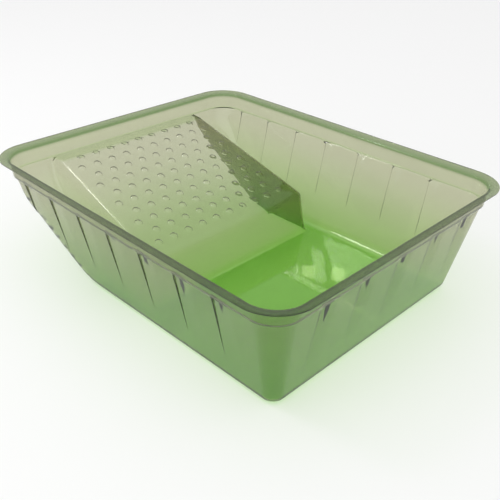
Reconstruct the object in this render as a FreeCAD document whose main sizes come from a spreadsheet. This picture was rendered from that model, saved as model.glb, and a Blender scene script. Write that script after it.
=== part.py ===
import FreeCAD, Part
import math
import os
import Sketcher
from FreeCAD import Placement, Rotation, Vector

# Paint roller tray: one formed sheet of clear plastic, drawn as the zones of that sheet.
# Millimetres. +X runs from the shallow end to the deep end, +Y is the far side, +Z is up.
# The origin is on the surface that the tray stands on, under the middle of the rim.

doc = FreeCAD.newDocument("paint_roller_tray")

# ---------------------------------------------------------------- driving dimensions

# Half of the straight run along the top of a side wall, and of an end wall.
SIDE_STRAIGHT = "(rim_length / 2 - flange_width - collar_lean - ledge_step - ledge_corner)"
END_STRAIGHT = "(rim_width / 2 - flange_width - collar_lean - ledge_step - ledge_corner)"
DECK_LEVEL_RUN = "((ledge_height - lip_height) / tan(deck_angle * 1deg))"

# A value that begins with = follows other sizes until a number is put in its place.
SIZES = [
    ("sheet_wall", 1.0, "thickness of the plastic everywhere"),
    ("rim_length", 400.0, "outside of the flange, shallow end to deep end"),
    ("rim_width", 330.0, "outside of the flange, near side to far side"),
    ("rim_height", 116.0, "top of the flange above the table"),
    ("rim_corner", 37.0, "plan radius of the flange's outer edge"),
    ("collar_corner", 29.0, "plan radius of the collar at the root of the flange"),
    ("flange_width", 9.0, "flange, collar to outer edge"),
    ("flange_rise", 1.8, "outer edge of the flange above its root"),
    ("ledge_height", 98.0, "where the collar ends and the walls begin"),
    ("collar_lean", 2.0, "the collar moves inwards by this much on its way down"),
    ("ledge_step", 2.0, "width of the ledge under the collar"),
    ("ledge_corner", 24.0, "plan radius of the walls at the ledge"),
    ("side_lean", 22.4, "side walls, inwards from the ledge to the base"),
    ("end_lean", 19.0, "end walls, inwards from the ledge to the base"),
    ("base_corner", 12.0, "plan radius of the walls at the base"),
    ("lip_setback", 189.0, "shallow end of the rim to the lower edge of the bumped deck"),
    ("lip_x", "=lip_setback - rim_length / 2", "lower edge of the bumped deck, along the tray"),
    ("lip_height", 50.0, "lower edge of the bumped deck, above the table"),
    ("deck_angle", 16.75, "slope of the bumped deck, degrees"),
    ("front_lean", 3.5, "ramp front, forwards from the lip to the base"),
    ("channel_foot", 15.0, "floor of a side channel, ramp's side to wall at the base"),
    ("ramp_half_base", "=rim_width / 2 - flange_width - collar_lean - ledge_step - side_lean - channel_foot",
     "middle of the tray to the ramp's side at the base"),
    ("ramp_side_lean", 16.1, "ramp's side, inwards from the base to the ledge"),
    ("channel_toe_setback", 110.0, "shallow end of the rim to where the side channels climb"),
    ("channel_toe_x", "=channel_toe_setback - rim_length / 2", "where the side channels start to climb"),
    ("channel_angle", 41.0, "slope of the side channels, degrees"),
    ("bump_diameter", 8.0, "foot of one grip bump"),
    ("bump_height", 1.4, "top of one grip bump above the deck"),
    ("bump_across", 19.0, "pitch of the bumps in a row"),
    ("bump_along", 15.54, "pitch of the rows, measured level"),
    ("bump_first_drop", 3.0, "top edge of the deck to the first row, measured level"),
    ("bump_end_margin", 10.0, "least plain strip between the last row and the lip, measured level"),
    ("bump_side_margin", 13.0, "least distance from a bump's middle to the deck's side"),
    ("bump_rows", "=floor((%s - bump_first_drop - bump_end_margin) / bump_along) + 1" % DECK_LEVEL_RUN,
     "rows of bumps, short and long in turn"),
    ("bumps_in_short_row",
     "=floor(2 * (ramp_half_base - ramp_side_lean - bump_side_margin) / bump_across + 0.001)",
     "bumps in the first row and every other row"),
    ("flute_depth", 1.3, "step of one flute at the ledge"),
    ("flute_foot", 30.0, "height at which the flutes die out"),
    ("side_flute_pitch", 45.5, "pitch of the flutes along the side walls"),
    ("side_flute_inset", 9.5, "start of a side wall's straight run to its first flute"),
    ("side_flute_clear", 40.0, "least run after a side wall's last flute"),
    ("side_flute_first", "=side_flute_inset - %s" % SIDE_STRAIGHT, "first flute of a side wall"),
    ("side_flute_count",
     "=floor((2 * %s - side_flute_inset - side_flute_clear) / side_flute_pitch) + 1" % SIDE_STRAIGHT,
     "flutes on each side wall"),
    ("end_flute_pitch", 50.0, "pitch of the flutes along the deep end wall"),
    ("end_flute_inset", 27.0, "start of the end wall's straight run to its first flute"),
    ("end_flute_clear", 25.0, "least run after the end wall's last flute"),
    ("end_flute_first", "=end_flute_inset - %s" % END_STRAIGHT, "first flute of the deep end wall"),
    ("end_flute_count",
     "=floor((2 * %s - end_flute_inset - end_flute_clear) / end_flute_pitch) + 1" % END_STRAIGHT,
     "flutes on the deep end wall"),
]

sheet = doc.addObject("Spreadsheet::Sheet", "Sizes")
for row, (alias, value, note) in enumerate(SIZES, start=1):
    sheet.set("A%d" % row, str(value))
    sheet.setAlias("A%d" % row, alias)
    sheet.set("B%d" % row, note)
doc.recompute()


def size(alias):
    """A driving dimension, read back from the sheet."""
    return float(getattr(sheet, alias))


# Derived dimensions, written as expressions over the sheet so that they follow it.
def cell(alias):
    return "Sizes." + alias


WALL = cell("sheet_wall")
LAND = "(%s / 2)" % WALL
RIM_X = "(%s / 2)" % cell("rim_length")
RIM_Y = "(%s / 2)" % cell("rim_width")
FLANGE_ROOT = "(%s - %s - %s)" % (cell("rim_height"), cell("flange_rise"), WALL)
COLLAR_X = "(%s - %s)" % (RIM_X, cell("flange_width"))
COLLAR_Y = "(%s - %s)" % (RIM_Y, cell("flange_width"))
LEDGE_X = "(%s - %s)" % (COLLAR_X, cell("collar_lean"))
LEDGE_Y = "(%s - %s)" % (COLLAR_Y, cell("collar_lean"))
WALL_X = "(%s - %s)" % (LEDGE_X, cell("ledge_step"))
WALL_Y = "(%s - %s)" % (LEDGE_Y, cell("ledge_step"))
BASE_X = "(%s - %s)" % (WALL_X, cell("end_lean"))
BASE_Y = "(%s - %s)" % (WALL_Y, cell("side_lean"))
DECK_RUN = "((%s - %s) / tan(%s * 1deg))" % (cell("ledge_height"), cell("lip_height"), cell("deck_angle"))
DECK_TOP_X = "(%s - %s)" % (cell("lip_x"), DECK_RUN)
FRONT_FOOT_X = "(%s + %s)" % (cell("lip_x"), cell("front_lean"))
CLEAR = "20"          # how far cutting volumes reach past the tray


def minus(a, b):
    return "(%s - %s)" % (a, b)


def plus(a, b):
    return "(%s + %s)" % (a, b)


# ---------------------------------------------------------------- building blocks

def origin_plane(body, role):
    return next(f for f in body.Origin.OriginFeatures if f.Role == role)


def new_sketch(body, name, role):
    sketch = body.newObject("Sketcher::SketchObject", name)
    sketch.AttachmentSupport = (origin_plane(body, role), [""])
    sketch.MapMode = "FlatFace"
    return sketch


def rounded_rectangle(body, name, half_x, half_y, radius, height):
    """A rounded rectangle about the Z axis, level, at a height. All four are expressions."""
    sketch = new_sketch(body, name, "XY_Plane")
    sketch.setExpression("AttachmentOffset.Base.z", height)
    x, y, r = 150.0, 100.0, 20.0
    corners = [(x - r, y - r, 0), (-x + r, y - r, 90), (-x + r, -y + r, 180), (x - r, -y + r, 270)]
    for cx, cy, start in corners:
        circle = Part.Circle(Vector(cx, cy, 0), Vector(0, 0, 1), r)
        arc = Part.ArcOfCircle(circle, math.radians(start), math.radians(start + 90))
        sketch.addGeometry(arc)
    ends = [((x - r, y), (-x + r, y)), ((-x, y - r), (-x, -y + r)),
            ((-x + r, -y), (x - r, -y)), ((x, -y + r), (x, y - r))]
    for (ax, ay), (bx, by) in ends:
        sketch.addGeometry(Part.LineSegment(Vector(ax, ay, 0), Vector(bx, by, 0)))
    for k in range(4):
        sketch.addConstraint(Sketcher.Constraint("Tangent", k, 2, 4 + k, 1))
        sketch.addConstraint(Sketcher.Constraint("Tangent", 4 + k, 2, (k + 1) % 4, 1))
    sketch.addConstraint(Sketcher.Constraint("Horizontal", 6))
    for k in (5, 7):
        sketch.addConstraint(Sketcher.Constraint("Vertical", k))
    for k in (1, 2):
        sketch.addConstraint(Sketcher.Constraint("Equal", 0, k))
    sketch.addConstraint(Sketcher.Constraint("Symmetric", 4, 1, 6, 2, -1))
    sketch.addConstraint(Sketcher.Constraint("Symmetric", 4, 1, 4, 2, -2))
    radius_row = sketch.addConstraint(Sketcher.Constraint("Radius", 0, r))
    long_row = sketch.addConstraint(Sketcher.Constraint("DistanceX", 5, 1, 7, 1, 2 * x))
    wide_row = sketch.addConstraint(Sketcher.Constraint("DistanceY", 6, 1, 4, 1, 2 * y))
    sketch.setExpression("Constraints[%d]" % radius_row, radius)
    sketch.setExpression("Constraints[%d]" % long_row, "2 * " + half_x)
    sketch.setExpression("Constraints[%d]" % wide_row, "2 * " + half_y)
    return sketch


def tub(name, levels):
    """A straight-sided loft through level rounded rectangles, bottom to top."""
    body = doc.addObject("PartDesign::Body", name)
    rings = [rounded_rectangle(body, "%s_ring_%d" % (name, k), *level) for k, level in enumerate(levels)]
    loft = body.newObject("PartDesign::AdditiveLoft", name + "_loft")
    loft.Profile = rings[0]
    loft.Sections = rings[1:]
    loft.Ruled = True
    return body


def prism(name, role, points, length):
    """A closed outline, each point a pair of expressions, padded evenly both ways."""
    body = doc.addObject("PartDesign::Body", name)
    sketch = new_sketch(body, name + "_outline", role)
    count = len(points)
    seeds = [(100 * math.cos(2 * math.pi * k / count), 100 * math.sin(2 * math.pi * k / count))
             for k in range(count)]
    for k in range(count):
        start, end = seeds[k], seeds[(k + 1) % count]
        sketch.addGeometry(Part.LineSegment(Vector(*start, 0), Vector(*end, 0)))
    for k in range(count):
        sketch.addConstraint(Sketcher.Constraint("Coincident", k, 2, (k + 1) % count, 1))
    for k, (across, up) in enumerate(points):
        across_row = sketch.addConstraint(Sketcher.Constraint("DistanceX", -1, 1, k, 1, seeds[k][0]))
        up_row = sketch.addConstraint(Sketcher.Constraint("DistanceY", -1, 1, k, 1, seeds[k][1]))
        sketch.setExpression("Constraints[%d]" % across_row, across)
        sketch.setExpression("Constraints[%d]" % up_row, up)
    pad = body.newObject("PartDesign::Pad", name + "_pad")
    pad.Profile = sketch
    pad.Midplane = True
    pad.setExpression("Length", length)
    return body


def block(name, low, high):
    """A box between two corners, each coordinate an expression."""
    box = doc.addObject("Part::Box", name)
    for axis, side, a, b in zip("xyz", ("Length", "Width", "Height"), low, high):
        box.setExpression("Placement.Base." + axis, a)
        box.setExpression(side, minus(b, a))
    return box


def cut(name, base, tool):
    result = doc.addObject("Part::Cut", name)
    result.Base, result.Tool = base, tool
    return result


def common(name, first, second):
    result = doc.addObject("Part::Common", name)
    result.Base, result.Tool = first, second
    return result


def fuse(name, shapes):
    result = doc.addObject("Part::MultiFuse", name)
    result.Shapes = shapes
    return result


# ---------------------------------------------------------------- the sheet as one form

LEDGE_Z = cell("ledge_height")
UNDER_LEDGE = minus(LEDGE_Z, WALL)
RIM_Z = cell("rim_height")


def shrink(expression):
    return minus(expression, WALL)


# Basin, outside and inside: base, ledge.
basin_outside = tub("basin_outside", [
    (BASE_X, BASE_Y, cell("base_corner"), "0"),
    (WALL_X, WALL_Y, cell("ledge_corner"), LEDGE_Z)])
basin_inside = tub("basin_inside", [
    (shrink(BASE_X), shrink(BASE_Y), shrink(cell("base_corner")), "0"),
    (shrink(WALL_X), shrink(WALL_Y), shrink(cell("ledge_corner")), LEDGE_Z)])

# Collar and flange, outside and inside: ledge, root of the flange, outer edge, top.
FOOT_CORNER = plus(cell("ledge_corner"), cell("ledge_step"))
rim_outside = tub("rim_outside", [
    (LEDGE_X, LEDGE_Y, FOOT_CORNER, UNDER_LEDGE),
    (COLLAR_X, COLLAR_Y, cell("collar_corner"), FLANGE_ROOT),
    (RIM_X, RIM_Y, cell("rim_corner"), shrink(RIM_Z)),
    (RIM_X, RIM_Y, cell("rim_corner"), RIM_Z)])
rim_inside = tub("rim_inside", [
    (shrink(LEDGE_X), shrink(LEDGE_Y), shrink(FOOT_CORNER), LEDGE_Z),
    (shrink(COLLAR_X), shrink(COLLAR_Y), shrink(cell("collar_corner")), plus(FLANGE_ROOT, WALL)),
    (minus(RIM_X, LAND), minus(RIM_Y, LAND), minus(cell("rim_corner"), LAND), RIM_Z)])

# Everything under the tray's upper surface: level base, then the climbing channel floors.
CHANNEL_TAN = "tan(%s * 1deg)" % cell("channel_angle")
CHANNEL_COS = "cos(%s * 1deg)" % cell("channel_angle")
BACK = "(-%s)" % cell("rim_length")
DEPTH = "(-%s)" % CLEAR
CHANNEL_RISE = "((%s - %s) * %s)" % (cell("channel_toe_x"), BACK, CHANNEL_TAN)
INNER_RISE = plus(CHANNEL_RISE, "(%s / %s)" % (WALL, CHANNEL_COS))
INNER_TOE_X = plus(cell("channel_toe_x"), "(%s * (1 / %s - 1) / %s)" % (WALL, CHANNEL_COS, CHANNEL_TAN))
under_slope = prism("under_slope", "XZ_Plane", [
    (cell("channel_toe_x"), "0"), (BACK, CHANNEL_RISE), (BACK, DEPTH), (cell("channel_toe_x"), DEPTH)],
    cell("rim_length"))
under_floor = prism("under_floor", "XZ_Plane", [
    (cell("rim_length"), WALL), (INNER_TOE_X, WALL), (BACK, INNER_RISE),
    (BACK, DEPTH), (cell("rim_length"), DEPTH)], cell("rim_length"))

# The ramp is a raised block: shelf, bumped deck and front in profile, leaning sides across.
DECK_TAN = "tan(%s * 1deg)" % cell("deck_angle")
DECK_COS = "cos(%s * 1deg)" % cell("deck_angle")
FRONT_RATE = "(%s / (%s - %s))" % (cell("front_lean"), cell("lip_height"), WALL)
INNER_TOP_X = minus(DECK_TOP_X, "(%s * (1 / %s - 1) / %s)" % (WALL, DECK_COS, DECK_TAN))
LIP_DROP = "(%s * (1 / %s - %s) / (1 - %s * %s))" % (WALL, DECK_COS, DECK_TAN, FRONT_RATE, DECK_TAN)
INNER_LIP_X = "(%s - %s + %s * %s)" % (cell("lip_x"), WALL, FRONT_RATE, LIP_DROP)
INNER_LIP_Z = minus(cell("lip_height"), LIP_DROP)
ramp_profile = prism("ramp_profile", "XZ_Plane", [
    (BACK, LEDGE_Z), (DECK_TOP_X, LEDGE_Z), (cell("lip_x"), cell("lip_height")),
    (FRONT_FOOT_X, WALL), (FRONT_FOOT_X, DEPTH), (BACK, DEPTH)], cell("rim_width"))
ramp_hollow_profile = prism("ramp_hollow_profile", "XZ_Plane", [
    (BACK, UNDER_LEDGE), (INNER_TOP_X, UNDER_LEDGE), (INNER_LIP_X, INNER_LIP_Z),
    (shrink(FRONT_FOOT_X), WALL), (shrink(FRONT_FOOT_X), DEPTH), (BACK, DEPTH)], cell("rim_width"))
FORWARD = plus(FRONT_FOOT_X, CLEAR)
under_deck = prism("under_deck", "XZ_Plane", [
    (BACK, UNDER_LEDGE), (INNER_TOP_X, UNDER_LEDGE),
    (FORWARD, "(%s - (%s - %s) * %s)" % (UNDER_LEDGE, FORWARD, INNER_TOP_X, DECK_TAN)),
    (FORWARD, DEPTH), (BACK, DEPTH)], cell("rim_width"))


def ramp_sides(name, half_base):
    """The space between the ramp's two leaning sides."""
    rate = "(%s / %s)" % (cell("ramp_side_lean"), LEDGE_Z)
    low = plus(half_base, "(%s * %s)" % (CLEAR, rate))
    high = minus(half_base, "((%s + %s) * %s)" % (LEDGE_Z, CLEAR, rate))
    top = plus(LEDGE_Z, CLEAR)
    points = [("-" + low, DEPTH), (low, DEPTH), (high, top), ("-" + high, top)]
    return prism(name, "YZ_Plane", points, "(3 * %s)" % cell("rim_length"))


between_sides = ramp_sides("between_sides", cell("ramp_half_base"))
between_hollow_sides = ramp_sides("between_hollow_sides", shrink(cell("ramp_half_base")))
ramp_block = common("ramp_block", ramp_profile, between_sides)
ramp_hollow = common("ramp_hollow", ramp_hollow_profile, between_hollow_sides)

basin_air = cut("basin_air", cut("basin_over_floor", basin_inside, under_floor), ramp_block)
basin_trimmed = cut("basin_trimmed", basin_outside, under_slope)
tray_outside = fuse("tray_outside", [rim_outside, basin_trimmed])
tray_air = fuse("tray_air", [rim_inside, basin_air])
tray_form = cut("tray_form", cut("tray_with_solid_ramp", tray_outside, tray_air), ramp_hollow)

# ---------------------------------------------------------------- the zones of the sheet

GRID_X = minus(BASE_X, cell("base_corner"))
GRID_Y = minus(BASE_Y, cell("base_corner"))
FAR = cell("rim_length")
LONG_BANDS = {"shallow": ("-" + FAR, "-" + GRID_X), "middle": ("-" + GRID_X, GRID_X), "deep": (GRID_X, FAR)}
WIDE_BANDS = {"near": ("-" + FAR, "-" + GRID_Y), "middle": ("-" + GRID_Y, GRID_Y), "far": (GRID_Y, FAR)}
BELOW, ABOVE = DEPTH, plus(RIM_Z, CLEAR)

parts = []


def zone(label, base, low, high):
    """One named zone: what of the base form lies between two corners."""
    result = common(label, base, block(label + "_bounds", low, high))
    parts.append(result)
    return result


in_basin = common("ramp_in_basin", ramp_block, basin_inside)
ramp_skin = common("ramp_skin", tray_form, in_basin)
rest = cut("form_without_ramp", tray_form, in_basin)
floor_skin = common("floor_skin", rest, under_floor)
upright = cut("form_without_floor", rest, under_floor)

# Rim: flange and collar together, four straights and four corners.
RIM_ZONES = [
    ("near_rim", "middle", "near"), ("far_rim", "middle", "far"),
    ("deep_end_rim", "deep", "middle"), ("shallow_end_rim", "shallow", "middle"),
    ("near_deep_rim_corner", "deep", "near"), ("far_deep_rim_corner", "deep", "far"),
    ("near_shallow_rim_corner", "shallow", "near"), ("far_shallow_rim_corner", "shallow", "far")]
for label, long_band, wide_band in RIM_ZONES:
    (x0, x1), (y0, y1) = LONG_BANDS[long_band], WIDE_BANDS[wide_band]
    zone(label, rest, (x0, y0, UNDER_LEDGE), (x1, y1, ABOVE))

# Walls under the ledge. The shallow end has only its two corners, because the ramp is open below.
WALL_ZONES = [
    ("near_deep_corner", LONG_BANDS["deep"], WIDE_BANDS["near"]),
    ("far_deep_corner", LONG_BANDS["deep"], WIDE_BANDS["far"]),
    ("near_shallow_corner", LONG_BANDS["shallow"], ("-" + FAR, "0")),
    ("far_shallow_corner", LONG_BANDS["shallow"], ("0", FAR))]
for label, (x0, x1), (y0, y1) in WALL_ZONES:
    zone(label, upright, (x0, y0, BELOW), (x1, y1, UNDER_LEDGE))


def polyhedron(corners, faces):
    """A closed solid from corner points and the corners of each face."""
    sides = []
    for face in faces:
        outline = [corners[k] for k in face + face[:1]]
        sides.append(Part.Face(Part.makePolygon(outline)))
    return Part.Solid(Part.Shell(sides))


def flute_shape(place, pitch):
    """One flute: stands off the wall by the flute depth at its step, and dies out along and down.

    place(u, height, inwards) is the point u along the wall, at a height, that far inside it."""
    top = size("ledge_height") - size("sheet_wall")
    embed = size("sheet_wall") / 2

    def ring(u, height, depth):
        return [place(u, height, -embed), place(u, height, depth)]

    corners = ring(0, top, size("flute_depth")) + ring(pitch, top, 0) + ring(0, size("flute_foot"), 0)
    faces = [(0, 1, 3, 2), (0, 4, 5, 1), (2, 3, 5, 4), (1, 5, 3), (0, 2, 4)]
    shape = polyhedron(corners, faces)
    return shape if shape.Volume > 0 else shape.reversed()


def flutes(name, wall_at, first, pitch, count):
    """All the flutes of one wall, each an object of its own."""
    made = []
    for k in range(count):
        start = first + k * pitch
        flute = doc.addObject("Part::Feature", "%s_%d" % (name, k))
        flute.Shape = flute_shape(lambda u, height, inwards: wall_at(start + u, height, inwards), pitch)
        made.append(flute)
    return made


def wall_inside(half_base, lean, height):
    """How far from the middle a wall's inner surface is, at a height."""
    return half_base + lean * height / size("ledge_height") - size("sheet_wall")


rim_to_wall = size("flange_width") + size("collar_lean") + size("ledge_step")
base_x = size("rim_length") / 2 - rim_to_wall - size("end_lean")
base_y = size("rim_width") / 2 - rim_to_wall - size("side_lean")


def side_wall_at(side):
    def place(u, height, inwards):
        return Vector(u, side * (wall_inside(base_y, size("side_lean"), height) - inwards), height)
    return place


def end_wall_at(u, height, inwards):
    return Vector(wall_inside(base_x, size("end_lean"), height) - inwards, u, height)


FLUTED_WALLS = [
    ("near_side_wall", "middle", "near", side_wall_at(-1), "side_flute"),
    ("far_side_wall", "middle", "far", side_wall_at(1), "side_flute"),
    ("deep_end_wall", "deep", "middle", end_wall_at, "end_flute")]
for label, long_band, wide_band, wall_at, kind in FLUTED_WALLS:
    (x0, x1), (y0, y1) = LONG_BANDS[long_band], WIDE_BANDS[wide_band]
    bounds = block(label + "_bounds", (x0, y0, BELOW), (x1, y1, UNDER_LEDGE))
    plain = common(label + "_plain", upright, bounds)
    first, pitch, count = size(kind + "_first"), size(kind + "_pitch"), int(size(kind + "_count"))
    ribs = flutes(label + "_flute", wall_at, first, pitch, count)
    over_floor = cut(label + "_over_floor", fuse(label + "_fluted", [plain] + ribs), under_floor)
    parts.append(common(label, over_floor, bounds))

# Floors: the well, and the two channels beside the ramp, level and then climbing.
TOE_X = cell("channel_toe_x")
zone("well_floor", floor_skin, (FRONT_FOOT_X, "-" + FAR, BELOW), (FAR, FAR, ABOVE))
for side, y0, y1 in (("near", "-" + FAR, "0"), ("far", "0", FAR)):
    zone(side + "_channel_floor", floor_skin, (TOE_X, y0, BELOW), (FRONT_FOOT_X, y1, ABOVE))
    zone(side + "_channel_slope", floor_skin, (BACK, y0, BELOW), (TOE_X, y1, UNDER_LEDGE))

# Ramp: shelf, bumped deck, front and the two sides.
ramp_top = cut("ramp_top", ramp_skin, under_deck)
ramp_below = common("ramp_below", ramp_skin, under_deck)
zone("ramp_shelf", ramp_top, (BACK, "-" + FAR, BELOW), (DECK_TOP_X, FAR, ABOVE))
parts.append(common("ramp_front", ramp_below, between_hollow_sides))
side_skins = cut("ramp_side_skins", ramp_below, between_hollow_sides)
zone("near_ramp_side", side_skins, (BACK, "-" + FAR, BELOW), (FORWARD, "0", ABOVE))
zone("far_ramp_side", side_skins, (BACK, "0", BELOW), (FORWARD, FAR, ABOVE))

deck_bounds = block("ramp_deck_bounds", (DECK_TOP_X, "-" + FAR, BELOW), (FORWARD, FAR, ABOVE))
deck_plain = common("ramp_deck_plain", ramp_top, deck_bounds)
BUMP_FOOT = "(%s / 2)" % cell("bump_diameter")
BUMP_BALL = "((%s ^ 2 + %s ^ 2) / (2 * %s))" % (BUMP_FOOT, cell("bump_height"), cell("bump_height"))
BUMP_SINK = minus(BUMP_BALL, cell("bump_height"))
BUMP_SLIP = "(%s * sin(%s * 1deg))" % (BUMP_SINK, cell("deck_angle"))
bumps = []
for row in range(int(size("bump_rows"))):
    in_row = int(size("bumps_in_short_row")) + row % 2
    along = "(%s + %s + %d * %s)" % (DECK_TOP_X, cell("bump_first_drop"), row, cell("bump_along"))
    deck_height = "(%s - (%s - %s) * %s)" % (LEDGE_Z, along, DECK_TOP_X, DECK_TAN)
    for k in range(in_row):
        bump = doc.addObject("Part::Sphere", "bump_%d_%d" % (row, k))
        bump.setExpression("Radius", BUMP_BALL)
        bump.setExpression("Angle1", "asin(%s / %s)" % (BUMP_SINK, BUMP_BALL))
        bump.Placement = Placement(Vector(), Rotation(Vector(0, 1, 0), size("deck_angle")))
        bump.setExpression("Placement.Rotation.Angle", "%s * 1deg" % cell("deck_angle"))
        bump.setExpression("Placement.Base.x", minus(along, BUMP_SLIP))
        bump.setExpression("Placement.Base.y", "%s * %s" % (k - (in_row - 1) / 2, cell("bump_across")))
        bump.setExpression("Placement.Base.z", "%s - %s * %s" % (deck_height, BUMP_SINK, DECK_COS))
        bumps.append(bump)
parts.append(fuse("ramp_deck", [deck_plain] + bumps))

# ---------------------------------------------------------------- check and write

doc.recompute()
for obj in doc.Objects:
    if "Invalid" in obj.State or "Error" in obj.State:
        raise RuntimeError("%s failed: %s" % (obj.Name, obj.State))
for part in parts:
    part.Label = part.Name
    if part.Shape.isNull() or not part.Shape.isValid() or part.Shape.Volume <= 0:
        raise RuntimeError("%s has no sound shape" % part.Label)

os.makedirs("parts", exist_ok=True)
for part in parts:
    part.Shape.exportStep("parts/%s.step" % part.Label)
    print("%-26s solids %d  volume %9.1f" % (part.Label, len(part.Shape.Solids), part.Shape.Volume))
print("sheet as one form %.1f, zones together %.1f"
      % (tray_form.Shape.Volume, sum(part.Shape.Volume for part in parts)))
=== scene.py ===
import math

import bpy
import numpy as np
from mathutils import Matrix, Vector
from mathutils.geometry import delaunay_2d_cdt


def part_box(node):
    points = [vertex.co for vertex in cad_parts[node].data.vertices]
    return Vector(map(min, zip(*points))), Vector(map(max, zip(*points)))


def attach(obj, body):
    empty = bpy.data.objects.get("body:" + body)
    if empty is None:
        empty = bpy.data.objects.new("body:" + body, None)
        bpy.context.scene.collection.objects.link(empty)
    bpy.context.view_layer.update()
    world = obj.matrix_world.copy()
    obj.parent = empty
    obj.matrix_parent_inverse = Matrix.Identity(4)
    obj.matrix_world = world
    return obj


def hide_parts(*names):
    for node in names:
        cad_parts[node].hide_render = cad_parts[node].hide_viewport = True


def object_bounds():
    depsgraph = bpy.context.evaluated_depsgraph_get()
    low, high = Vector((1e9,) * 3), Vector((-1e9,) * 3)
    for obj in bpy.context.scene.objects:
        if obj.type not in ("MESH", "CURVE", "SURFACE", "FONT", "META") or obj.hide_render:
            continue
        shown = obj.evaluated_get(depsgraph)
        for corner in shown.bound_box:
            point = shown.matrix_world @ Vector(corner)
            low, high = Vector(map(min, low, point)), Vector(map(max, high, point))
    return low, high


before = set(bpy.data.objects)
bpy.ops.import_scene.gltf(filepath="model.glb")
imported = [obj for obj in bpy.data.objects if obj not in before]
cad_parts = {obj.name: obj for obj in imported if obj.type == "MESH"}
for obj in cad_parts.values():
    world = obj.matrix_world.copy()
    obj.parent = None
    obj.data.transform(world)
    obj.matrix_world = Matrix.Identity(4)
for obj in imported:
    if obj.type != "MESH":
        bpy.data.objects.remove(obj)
cad_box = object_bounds()

# Paint roller tray of one formed sheet of clear green plastic. The shape is worked out in
# millimetres in the tray's own frame: +X to the deep end, +Y to the far side, +Z up.

MM = 0.001


def high(node):
    return np.array(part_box(node)[1]) / MM


def low(node):
    return np.array(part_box(node)[0]) / MM


# ---------------------------------------------------------------- sizes, from the frame

RIM_X, RIM_Y, RIM_Z = np.array(cad_box[1]) / MM       # flange: half length, half width, top
SHEET = high("well_floor")[2]                         # thickness of the plastic
BASE_X, BASE_Y = high("well_floor")[:2]               # half sizes of the walls' foot, outside
SHELF_Z = high("ramp_shelf")[2]                       # ledge and shelf, upper surface
DECK_TOP_X = high("ramp_shelf")[0]                    # where the deck leaves the shelf
FRONT_FOOT_X = high("ramp_front")[0]                  # ramp front at the floor
RAMP_HALF = -low("near_ramp_side")[1]                 # ramp's side at the floor
TOE_X = low("near_channel_floor")[0]                  # where the side channels start to climb

# Shape of the bends and slopes between those places.
SIDE_LEAN, END_LEAN = 22.4, 19.0                      # walls, over the height of the ledge
BASE_CORNER, LEDGE_CORNER = 11.0, 23.0                # plan radii of the walls, inside
COLLAR_INSET, COLLAR_LEAN = 10.0, 2.0
COLLAR_CORNER, COLLAR_FOOT_CORNER, RIM_CORNER = 28.0, 25.0, 37.0
FLANGE_RISE = 1.8
EDGE_INSET = 0.2                                      # keeps the leaning edge inside the rim's size
DECK_SLOPE = math.tan(math.radians(16.75))
FRONT_LEAN = 3.5
RAMP_SIDE_LEAN = 16.1
CHANNEL_SLOPE = math.tan(math.radians(41))
FOOT_BEND, RAMP_FOOT_BEND, RAMP_SIDE_BEND, LIP_BEND, FRONT_EDGE_BEND = 9.0, 4.0, 4.0, 7.0, 6.0
LEDGE_BEND, COLLAR_FOOT_BEND, FLANGE_BEND, TOE_BEND = 1.2, 0.8, 2.0, 12.0

LIP_X = FRONT_FOOT_X - FRONT_LEAN
LIP_Z = SHELF_Z - (LIP_X - DECK_TOP_X) * DECK_SLOPE
COLLAR_X, COLLAR_Y = RIM_X - COLLAR_INSET, RIM_Y - COLLAR_INSET
FLANGE_Z = RIM_Z - FLANGE_RISE                        # flange at the collar

# Grip bumps: rows of nine and ten in turn.
BUMP_ROWS, BUMPS_IN_SHORT_ROW = 10, 9
BUMP_ACROSS, BUMP_ALONG, BUMP_FIRST = 19.0, 15.54, 3.0
BUMP_FOOT, BUMP_HEIGHT = 4.0, 1.4

# Flutes: each steps in by this much at the ledge, runs back out to the wall, and fades downwards.
FLUTE_DEPTH, FLUTE_RUN, FLUTE_EDGE, FLUTE_FOOT = 1.3, 20.0, 0.5, 30.0
SIDE_FLUTES = [-153.5 + 45.5 * k for k in range(7)]
END_FLUTES = [-101.0 + 50.0 * k for k in range(5)]


# ---------------------------------------------------------------- the surface

def smooth_min(a, b, bend):
    h = np.maximum(0, 1 - np.abs(a - b) / bend)
    return np.minimum(a, b) - h * h * bend / 4


def smooth_max(a, b, bend):
    return -smooth_min(-a, -b, bend)


def inside_rectangle(x, y, half_x, half_y, radius):
    """Distance from a point inside to a rounded rectangle, negative outside."""
    qx = np.abs(x) - half_x + radius
    qy = np.abs(y) - half_y + radius
    past = np.hypot(np.maximum(qx, 0), np.maximum(qy, 0))
    return radius - past - np.minimum(np.maximum(qx, qy), 0)


def flute_steps(u, height, starts):
    fade = np.clip((height - FLUTE_FOOT) / (SHELF_Z - FLUTE_FOOT), 0, 1)
    depth = np.zeros_like(u)
    for start in starts:
        rise = np.clip((u - start) / FLUTE_EDGE, 0, 1)
        run = np.clip(1 - (u - start) / FLUTE_RUN, 0, 1)
        depth = depth + rise * rise * (3 - 2 * rise) * run
    return FLUTE_DEPTH * fade * depth


def wall_half_x(z):
    return BASE_X - SHEET + END_LEAN * (np.minimum(z, SHELF_Z) - SHEET) / SHELF_Z


def wall_half_y(z):
    return BASE_Y - SHEET + SIDE_LEAN * (np.minimum(z, SHELF_Z) - SHEET) / SHELF_Z


def wall_corner(z):
    return BASE_CORNER + (LEDGE_CORNER - BASE_CORNER) * np.minimum(z, SHELF_Z) / SHELF_Z


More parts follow.
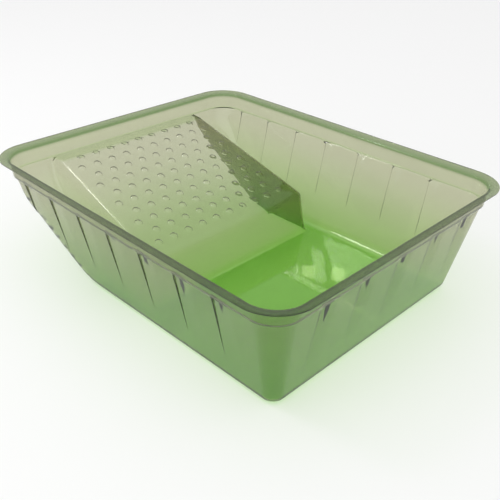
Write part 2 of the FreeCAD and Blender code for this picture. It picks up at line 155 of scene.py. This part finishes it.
def wall_clearance(x, y, z):
    """Distance inside the leaning walls, flutes included."""
    clear = inside_rectangle(x, y, wall_half_x(z), wall_half_y(z), wall_corner(z)) * 0.975
    on_side = np.abs(y) - wall_half_y(z) > np.abs(x) - wall_half_x(z)
    side = flute_steps(x, z, SIDE_FLUTES)
    end = np.where(x > 0, flute_steps(y, z, END_FLUTES), 0)
    return clear - np.where(on_side, side, end)


def deck_height(x):
    return SHELF_Z - (x - DECK_TOP_X) * DECK_SLOPE


def bump_centres():
    for row in range(BUMP_ROWS):
        count = BUMPS_IN_SHORT_ROW + row % 2
        for k in range(count):
            yield DECK_TOP_X + BUMP_FIRST + row * BUMP_ALONG, (k - (count - 1) / 2) * BUMP_ACROSS


def bump_rise(x, y):
    """Height of the grip bumps over the deck: domes with a soft foot."""
    row = np.clip(np.round((x - DECK_TOP_X - BUMP_FIRST) / BUMP_ALONG), 0, BUMP_ROWS - 1)
    shift = np.where(row % 2 == 0, 0, BUMP_ACROSS / 2)
    most = np.where(row % 2 == 0, BUMPS_IN_SHORT_ROW - 1, BUMPS_IN_SHORT_ROW) / 2 * BUMP_ACROSS
    column = np.clip(np.round((y - shift) / BUMP_ACROSS) * BUMP_ACROSS + shift, -most, most)
    away = np.hypot(x - DECK_TOP_X - BUMP_FIRST - row * BUMP_ALONG, y - column) / BUMP_FOOT
    t = np.clip(1 - away * away, 0, 1)
    return BUMP_HEIGHT * np.where(t > 0, t * (2 - t) * np.clip(t * 4, 0, 1) ** 0.5, 0)


def ramp_half(z):
    return RAMP_HALF - RAMP_SIDE_LEAN * z / SHELF_Z


def ramp_clearance(x, y, z):
    """Distance outside the ramp block: over its deck, beside it, or in front of it."""
    over = (z - deck_height(x)) / math.hypot(1, DECK_SLOPE) - bump_rise(x, y)
    front_rate = FRONT_LEAN / (LIP_Z - SHEET)
    before = (x - LIP_X - (LIP_Z - z) * front_rate) / math.hypot(1, front_rate)
    side_rate = RAMP_SIDE_LEAN / SHELF_Z
    beside = (np.abs(y) - ramp_half(z)) / math.hypot(1, side_rate)
    upright = smooth_max(before, beside, FRONT_EDGE_BEND)
    return smooth_max(smooth_max(over, before, LIP_BEND), smooth_max(over, upright, RAMP_SIDE_BEND), 0.01)


def floor_clearance(x, z):
    climb = (z - SHEET - (TOE_X - x) * CHANNEL_SLOPE) / math.hypot(1, CHANNEL_SLOPE)
    return smooth_min(z - SHEET, climb, TOE_BEND)


def air(x, y, z):
    """Positive in the air above the tray, negative below its upper surface. It rises with z."""
    basin = smooth_min(wall_clearance(x, y, z), floor_clearance(x, z), FOOT_BEND)
    basin = smooth_min(basin, ramp_clearance(x, y, z), RAMP_FOOT_BEND)
    share = np.clip((z - SHELF_Z) / (FLANGE_Z - SHELF_Z), -0.2, 1.2)
    foot = 1 - share
    collar = inside_rectangle(x, y, COLLAR_X - COLLAR_LEAN * foot, COLLAR_Y - COLLAR_LEAN * foot,
                              COLLAR_CORNER + (COLLAR_FOOT_CORNER - COLLAR_CORNER) * foot)
    over_ledge = smooth_min(z - SHELF_Z, collar, COLLAR_FOOT_BEND)
    outwards = -inside_rectangle(x, y, COLLAR_X, COLLAR_Y, COLLAR_CORNER)
    outwards = np.minimum(outwards, COLLAR_INSET - EDGE_INSET)
    over_flange = z - FLANGE_Z - outwards * FLANGE_RISE / COLLAR_INSET
    return smooth_max(smooth_max(basin, over_ledge, LEDGE_BEND), over_flange, FLANGE_BEND)


def surface_height(x, y, depth=0.0):
    """Height of the tray's upper surface over each point of its plan, or of the surface that is
    this deep inside the plastic."""
    below, above = np.full_like(x, -40.0), np.full_like(x, RIM_Z + 20)
    for _ in range(34):
        middle = (below + above) / 2
        up = air(x, y, middle) > -depth
        above = np.where(up, middle, above)
        below = np.where(up, below, middle)
    return (below + above) / 2


def surface_normals(x, y, z):
    step = 0.004
    across = air(x + step, y, z) - air(x - step, y, z)
    along = air(x, y + step, z) - air(x, y - step, z)
    up = air(x, y, z + step) - air(x, y, z - step)
    normals = np.stack([across, along, up], 1)
    return normals / np.linalg.norm(normals, axis=1, keepdims=True)


# ---------------------------------------------------------------- lines that the mesh follows

class Plan:
    """Points and lines in plan, which the triangles of the sheet follow."""

    def __init__(self):
        self.points, self.lines, self.used = [], [], []

    def line(self, xy, height=None, closed=False, edge=1.0):
        """A line, kept only inside the rim and where the surface is near the given height."""
        xy = np.asarray(xy, float)
        keep = inside_rectangle(xy[:, 0], xy[:, 1], RIM_X, RIM_Y, RIM_CORNER) > edge
        if height is not None:
            keep &= np.abs(surface_height(xy[:, 0], xy[:, 1]) - height) < 2.5
        start = len(self.points)
        self.points.extend(Vector(p) for p in xy)
        self.used.extend(keep)
        last = len(xy) if closed else len(xy) - 1
        for k in range(last):
            after = (k + 1) % len(xy)
            if keep[k] and keep[after]:
                self.lines.append((start + k, start + after))

    def straight(self, a, b, pitch=4.0, height=None):
        count = max(2, int(math.dist(a, b) / pitch) + 1)
        self.line(np.linspace(a, b, count), height)


CORNER_STEPS = 20


def along_side(half):
    """Places along a straight side."""
    return np.linspace(-half, half, int(half / 3.2))


def ring(half_x, half_y, radius):
    """A rounded rectangle whose places along each side stay the same from ring to ring."""
    far_x, far_y = half_x - radius, half_y - radius
    turn = np.linspace(0, math.pi / 2, CORNER_STEPS + 1)[1:-1]
    points = []
    for x in along_side(far_x):
        points.append((x, -half_y))
    for a in turn:
        points.append((far_x + radius * math.sin(a), -far_y - radius * math.cos(a)))
    for y in along_side(far_y):
        points.append((half_x, y))
    for a in turn:
        points.append((far_x + radius * math.cos(a), far_y + radius * math.sin(a)))
    for x in along_side(far_x)[::-1]:
        points.append((x, half_y))
    for a in turn:
        points.append((-far_x - radius * math.sin(a), far_y + radius * math.cos(a)))
    for y in along_side(far_y)[::-1]:
        points.append((-half_x, y))
    for a in turn:
        points.append((-far_x - radius * math.cos(a), -far_y - radius * math.sin(a)))
    return points


def bend_offsets(reach, count=6):
    """Offsets from a fold, closer together near it."""
    return [reach * (k / count) ** 1.5 for k in range(count + 1)]


def rim_rings(plan):
    """Flange, collar and ledge: rings between the walls' top and the flange's edge."""
    collar_places = [-COLLAR_LEAN * k / 8 for k in range(9)]
    ledge = [-COLLAR_LEAN - d for d in (0.12, 0.3, 0.5, 0.7, 0.85)]
    flange = [0.1, 0.2, 0.35, 0.55, 0.8, 1.1, 1.6, 2.4, 4.0, 6.0, 8.0]
    under_bends = [-0.8, -0.65, -0.4, 0.45, 0.65, 0.9, 1.25]
    collar_bends = [-0.06, -0.12, -0.18, -1.85, -1.92]
    for offset in ledge + collar_places + collar_bends + under_bends + flange:
        share = np.clip(offset / COLLAR_LEAN + 1, -1, 1)
        corner = COLLAR_FOOT_CORNER + (COLLAR_CORNER - COLLAR_FOOT_CORNER) * share
        outer = max(offset, 0) / COLLAR_INSET
        corner += (RIM_CORNER - COLLAR_CORNER) * outer
        plan.line(ring(COLLAR_X + offset, COLLAR_Y + offset, corner), closed=True)
    plan.line(ring(RIM_X - EDGE_INSET, RIM_Y - EDGE_INSET, RIM_CORNER), closed=True, edge=0.1)


def wall_rings(plan):
    """Level lines on the walls, closer together at the bends, and their steps at the flutes."""
    heights = [98.8, 98.4, 98, 97.6, 97.2, 96.7, 96, 95, 93, 89, 84]
    heights += [78, 70, 62, 54, 46, 38, 30, 22, 16]
    heights += [12, 10, 8.5, 7, 5.5, 4.2, 3.2, 2.4, 1.7, 1.2]
    for z in heights:
        plan.line(ring(wall_half_x(z), wall_half_y(z), wall_corner(z)), min(z, SHELF_Z), closed=True)
    for z in (97, 96, 95, 12, 9, 6.5, 4.5, 3, 2, 1.2, 0.6):
        x, y, corner = wall_half_x(z) + SHEET, wall_half_y(z) + SHEET, wall_corner(z) + SHEET
        plan.line(ring(x, y, corner), closed=True)
    for offset in (-0.5, 0, 0.12, 0.25, 0.38, FLUTE_EDGE, 1.0, 2.5, 6.0, 12.0, FLUTE_RUN):
        for start in SIDE_FLUTES:
            across = np.linspace(wall_half_y(FLUTE_FOOT) - FLUTE_DEPTH, wall_half_y(SHELF_Z), 16)
            along = np.full_like(across, start + offset)
            for side in (-1, 1):
                plan.line(np.column_stack([along, side * across]))
        for start in END_FLUTES:
            along = np.linspace(wall_half_x(FLUTE_FOOT) - FLUTE_DEPTH, wall_half_x(SHELF_Z), 16)
            plan.line(np.column_stack([along, np.full_like(along, start + offset)]))
    for inset in bend_offsets(FOOT_BEND * 1.1, 8)[1:]:
        z = SHEET
        corner = max(wall_corner(z) - inset, 1.0)
        plan.line(ring(wall_half_x(z) - inset, wall_half_y(z) - inset, corner), z, closed=True)


def foot_of_channel(half_at, side, outwards, plan, reach):
    """Fold lines along the foot of a leaning side, over the channel's level floor and its climb."""
    top = SHELF_Z - 4
    top_x = TOE_X - (top - SHEET) / CHANNEL_SLOPE
    places = [(FRONT_FOOT_X, SHEET), (TOE_X, SHEET), (top_x, top)]
    for offset in [0.0] + bend_offsets(reach)[1:] + [-d * 0.2 for d in bend_offsets(reach)[1:]]:
        for (xa, za), (xb, zb) in zip(places, places[1:]):
            a = (xa, side * (half_at(za) + outwards * offset))
            b = (xb, side * (half_at(zb) + outwards * offset))
            plan.straight(a, b, 3.0)


def ramp_lines(plan):
    """Folds of the ramp: deck edges, lip, front, its upright edges and the feet of its sides."""
    top = (DECK_TOP_X, SHELF_Z)
    lip = (LIP_X, LIP_Z)
    for side in (-1, 1):
        inwards = bend_offsets(RAMP_SIDE_BEND * 1.5)
        down = [RAMP_SIDE_BEND * 0.3 * k / 5 for k in range(1, 7)]
        for offset in [-d for d in inwards] + down:
            shelf_end = (-BASE_X - END_LEAN + 2, side * (ramp_half(SHELF_Z) + offset))
            fold_top = (top[0], side * (ramp_half(top[1]) + offset))
            fold_lip = (lip[0], side * (ramp_half(lip[1]) + offset))
            plan.straight(shelf_end, fold_top, 3.0)
            plan.straight(fold_top, fold_lip, 3.0)
        for offset in [k * 0.5 for k in range(-8, 9)]:
            plan.straight((LIP_X + offset * 0.5, side * (ramp_half(LIP_Z) + offset)),
                          (FRONT_FOOT_X + offset * 0.5, side * (ramp_half(SHEET) + offset)), 0.8)
        foot_of_channel(ramp_half, side, 1, plan, RAMP_FOOT_BEND)
        foot_of_channel(wall_half_y, side, -1, plan, FOOT_BEND)
    wide = ramp_half(SHELF_Z)
    for offset in bend_offsets(LIP_BEND * 1.2, 8)[1:]:
        plan.straight((LIP_X - offset, -wide - 8), (LIP_X - offset, wide + 8), 4.0)
    for k in range(17):
        x = LIP_X + (FRONT_FOOT_X - LIP_X) * k / 16
        plan.straight((x, -RAMP_HALF), (x, RAMP_HALF), 3.0)
    for offset in bend_offsets(RAMP_FOOT_BEND)[1:]:
        x = FRONT_FOOT_X + offset
        plan.straight((x, -RAMP_HALF - 3), (x, RAMP_HALF + 3), 3.0)
    for offset in (-1.5, -1, -0.6, -0.3, 0, 0.3, 0.6, 1, 1.5):
        plan.straight((DECK_TOP_X + offset, -wide), (DECK_TOP_X + offset, wide), 3.0)


def channel_lines(plan):
    """The channels' toe bend, and the bend where their climb meets the shallow end wall."""
    for side in (-1, 1):
        inner, outer = side * (ramp_half(0) - 2), side * (BASE_Y - 1)
        for offset in range(-8, 9, 1):
            plan.straight((TOE_X + offset, inner), (TOE_X + offset, outer), 2.0)
        inner, outer = side * (ramp_half(SHELF_Z) + 0.5), side * (BASE_Y + SIDE_LEAN)
        for offset in np.arange(-10, 6, 0.8):
            x = -BASE_X - END_LEAN + 6 + offset
            plan.straight((x, inner), (x, outer), 2.0)


def bump_rings(plan):
    turn = np.linspace(0, 2 * math.pi, 18, endpoint=False)
    for x, y in bump_centres():
        plan.line([(x, y)])
        for share in (0.35, 0.62, 0.8, 0.92, 1.0):
            r = BUMP_FOOT * share
            plan.line(np.stack([x + r * np.cos(turn), y + r * np.sin(turn)], 1), closed=True)


def tray_sheet():
    """The whole tray as one closed sheet: upper surface, under surface and the flange's edge."""
    plan = Plan()
    rim_rings(plan)
    wall_rings(plan)
    ramp_lines(plan)
    channel_lines(plan)
    bump_rings(plan)
    points = [p for p, keep in zip(plan.points, plan.used) if keep]
    place = np.cumsum(plan.used) - 1
    lines = [(int(place[a]), int(place[b])) for a, b in plan.lines]
    verts, _, faces, *_ = delaunay_2d_cdt(points, lines, [], 0, 1e-3)
    xy = np.array([tuple(v) for v in verts])
    z = surface_height(xy[:, 0], xy[:, 1])
    under_z = surface_height(xy[:, 0], xy[:, 1], SHEET)
    top, under = np.column_stack([xy, z]), np.column_stack([xy, under_z])
    normals = surface_normals(xy[:, 0], xy[:, 1], z)
    under_normals = surface_normals(xy[:, 0], xy[:, 1], under_z)
    triangles = [f for f in faces if len(f) == 3]
    edges = dict.fromkeys(e for f in triangles for e in zip(f, f[1:] + f[:1]))
    rim = [(a, b) for a, b in edges if (b, a) not in edges]
    count = len(top)
    polys = [tuple(f) for f in triangles]
    polys += [tuple(count + k for k in reversed(f)) for f in triangles]
    polys += [(b, a, count + a, count + b) for a, b in rim]
    mesh = bpy.data.meshes.new("tray_sheet")
    mesh.from_pydata((np.concatenate([top, under]) * MM).tolist(), [], polys)
    mesh.update()
    corner_vertex = np.zeros(len(mesh.loops), int)
    mesh.loops.foreach_get("vertex_index", corner_vertex)
    both = np.concatenate([normals, -under_normals])
    custom = both[corner_vertex]
    for face in mesh.polygons[2 * len(triangles):]:
        custom[face.loop_start:face.loop_start + 4] = face.normal
    mesh.polygons.foreach_set("use_smooth", [True] * len(mesh.polygons))
    mesh.normals_split_custom_set(custom.tolist())
    sheet = bpy.data.objects.new("tray_sheet", mesh)
    bpy.context.scene.collection.objects.link(sheet)
    return sheet


# ---------------------------------------------------------------- shaders

class Value:
    """A number socket that takes part in Python sums."""

    def __init__(self, tree, socket):
        self.tree, self.socket = tree, socket

    def sum_with(self, operation, first, second):
        return self.tree.node("ShaderNodeMath", {"operation": operation}, {0: first, 1: second})

    def __add__(self, other):
        return self.sum_with("ADD", self, other)

    __radd__ = __add__

    def __mul__(self, other):
        return self.sum_with("MULTIPLY", self, other)

    __rmul__ = __mul__


def set_stops(elements, stops):
    """Stops of a ramp, as pairs of a place from 0 to 1 and a grey level."""
    while len(elements) < len(stops):
        elements.new(0.5)
    for element, (at, level) in zip(elements, stops):
        element.position = at
        element.color = (level, level, level, 1)


class Tree:
    """The nodes of one material."""

    def __init__(self, name):
        self.material = bpy.data.materials.new(name)
        self.material.use_nodes = True
        self.tree = self.material.node_tree
        self.tree.nodes.clear()

    def node(self, kind, settings, inputs, output=0):
        made = self.tree.nodes.new(kind)
        for name, value in settings.items():
            if name == "stops":
                set_stops(made.color_ramp.elements, value)
            else:
                setattr(made, name, value)
        for key, value in inputs.items():
            socket = made.inputs[key]
            if isinstance(value, Value):
                self.tree.links.new(value.socket, socket)
            else:
                socket.default_value = value
        return Value(self, made.outputs[output])

    def finish(self, surface):
        output = self.tree.nodes.new("ShaderNodeOutputMaterial")
        self.tree.links.new(surface.socket, output.inputs["Surface"])
        return self.material


def clear_green_plastic():
    """See-through sheet, paler up the walls. Its deeper green in the floor is partly painted light,
    standing in for light bouncing between sheet and table; the dark green at the ledge and the rim's fold
    is painted shade of those folds, partly thicker plastic."""
    t = Tree("clear_green_plastic")
    place = t.node("ShaderNodeTexCoord", {}, {}, "Object")
    height = t.node("ShaderNodeSeparateXYZ", {}, {0: place}, "Z")
    share = height * (1 / (RIM_Z * MM))
    # Painted light and shade in the tint: the deeper green in the floor is partly painted light from
    # sheet and table, and the band at the ledge is painted shade of that fold.
    thickness_and_shade = t.node("ShaderNodeValToRGB", {"stops": [
        (0.0, 1.0), (0.022, 1.0), (0.10, 0.70), (0.45, 0.42), (0.75, 0.15), (0.838, 0.12), (0.845, 0.7),
        (0.852, 0.15)]}, {0: share})
    # Darker green at the rim's fold: painted shade of that fold, partly thicker plastic.
    rim_shade_and_thickness = t.node("ShaderNodeValToRGB", {"stops": [
        (0.0, 0.0), (0.94, 0.0), (0.955, 0.25), (0.968, 1.0), (0.982, 1.0), (0.99, 0.45),
        (1.0, 0.7)]}, {0: share})
    # Share that passes the greener lamp and bounce light, in the floor only.
    green_light_in_floor = t.node("ShaderNodeValToRGB", {"stops": [
        (0.0, 1.0), (0.02, 1.0), (0.04, 0.0)]}, {0: share})
    body = t.node("ShaderNodeMix", {"data_type": "RGBA"},
                  {0: thickness_and_shade, 6: (0.58, 0.56, 0.43, 1), 7: (0.36, 0.56, 0.17, 1)}, 2)
    tint = t.node("ShaderNodeMix", {"data_type": "RGBA"},
                  {0: rim_shade_and_thickness, 6: body, 7: (0.20, 0.30, 0.12, 1)}, 2)
    gloss = t.node("ShaderNodeBsdfPrincipled", {}, {
        "Base Color": tint, "Roughness": 0.02, "IOR": 1.46, "Specular IOR Level": 0.3,
        "Transmission Weight": 1.0})
    # Painted light: lamp and bounce rays pass a pale colour in the walls, which casts little shade
    # outside, and a greener one in the floor, which lights the table under it green.
    pale = t.node("ShaderNodeBsdfTransparent", {}, {"Color": (0.80, 0.89, 0.72, 1)})
    green = t.node("ShaderNodeBsdfTransparent", {}, {"Color": (0.74, 0.91, 0.62, 1)})
    passed = t.node("ShaderNodeMixShader", {}, {0: green_light_in_floor, 1: pale, 2: green})
    lamp = t.node("ShaderNodeLightPath", {}, {}, "Is Shadow Ray")
    bounce = t.node("ShaderNodeLightPath", {}, {}, "Is Diffuse Ray")
    surface = t.node("ShaderNodeMixShader", {}, {0: lamp + bounce, 1: gloss, 2: passed})
    return t.finish(surface)


def pale_floor():
    t = Tree("pale_floor")
    return t.finish(t.node("ShaderNodeBsdfPrincipled", {}, {
        "Base Color": (0.9, 0.9, 0.9, 1), "Roughness": 0.6}))


# ---------------------------------------------------------------- studio

def studio_floor():
    mesh = bpy.data.meshes.new("studio_floor")
    half = 6.0                  # metres
    corners = [(-half, -half, 0), (half, -half, 0), (half, half, 0), (-half, half, 0)]
    mesh.from_pydata(corners, [], [(0, 1, 2, 3)])
    floor = bpy.data.objects.new("studio_floor", mesh)
    floor.location.z = -0.0004
    bpy.context.scene.collection.objects.link(floor)
    floor.data.materials.append(pale_floor())


def lamp(name, place, target, size, power):
    data = bpy.data.lights.new(name, "AREA")
    data.shape, data.size, data.energy = "SQUARE", size, power
    light = bpy.data.objects.new(name, data)
    light.location = place
    light.rotation_euler = (Vector(target) - Vector(place)).to_track_quat("-Z", "Y").to_euler()
    bpy.context.scene.collection.objects.link(light)


def studio():
    world = bpy.data.worlds.new("studio")
    world.use_nodes = True
    nodes, links = world.node_tree.nodes, world.node_tree.links
    direction = nodes.new("ShaderNodeTexCoord")
    towards = nodes.new("ShaderNodeVectorMath")
    towards.operation = "DOT_PRODUCT"
    towards.inputs[1].default_value = Vector((0.25, -0.45, 0.86)).normalized()
    light = nodes.new("ShaderNodeMapRange")
    light.interpolation_type = "SMOOTHSTEP"
    for slot, value in zip((1, 2, 3, 4), (0.2, 0.95, 0.55, 1.4)):
        light.inputs[slot].default_value = value
    links.new(direction.outputs["Generated"], towards.inputs[0])
    links.new(towards.outputs["Value"], light.inputs[0])
    links.new(light.outputs[0], nodes["Background"].inputs["Strength"])
    nodes["Background"].inputs["Color"].default_value = (1, 1, 1, 1)
    bpy.context.scene.world = world
    lamp("window_left", (-0.994, 1.372, 1.069), (0.055, 0.046, 0), 0.05, 0.035)
    lamp("window_right", (-0.905, 1.442, 1.068), (0.079, 0.065, 0), 0.05, 0.035)
    lamp("fold_light", (-0.78, -0.67, 1.29), (-0.1, -0.1, 0.08), 0.3, 3)


def camera():
    data = bpy.data.cameras.new("camera")
    data.sensor_width, data.lens = 36.0, 49.70
    data.clip_start = 0.01
    yaw, pitch, roll = math.radians(134.185), math.radians(30.689), math.radians(1.215)
    level = math.cos(pitch)
    forward = Vector((math.cos(yaw) * level, math.sin(yaw) * level, -math.sin(pitch)))
    right = Vector((math.sin(yaw), -math.cos(yaw), 0))
    up = right.cross(forward)
    c, s = math.cos(roll), math.sin(roll)
    right, up = right * c + up * s, up * c - right * s
    turn = Matrix((right, up, -forward)).transposed()
    seen_by = bpy.data.objects.new("camera", data)
    seen_by.matrix_world = Matrix.Translation((0.43828, -0.43807, 0.39098)) @ turn.to_4x4()
    bpy.context.scene.collection.objects.link(seen_by)
    bpy.context.scene.camera = seen_by
    bpy.context.scene.view_settings.view_transform = "Standard"


# ---------------------------------------------------------------- the tray

sheet = tray_sheet()
sheet.data.materials.append(clear_green_plastic())
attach(sheet, "root")
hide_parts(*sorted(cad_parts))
studio_floor()
studio()
camera()
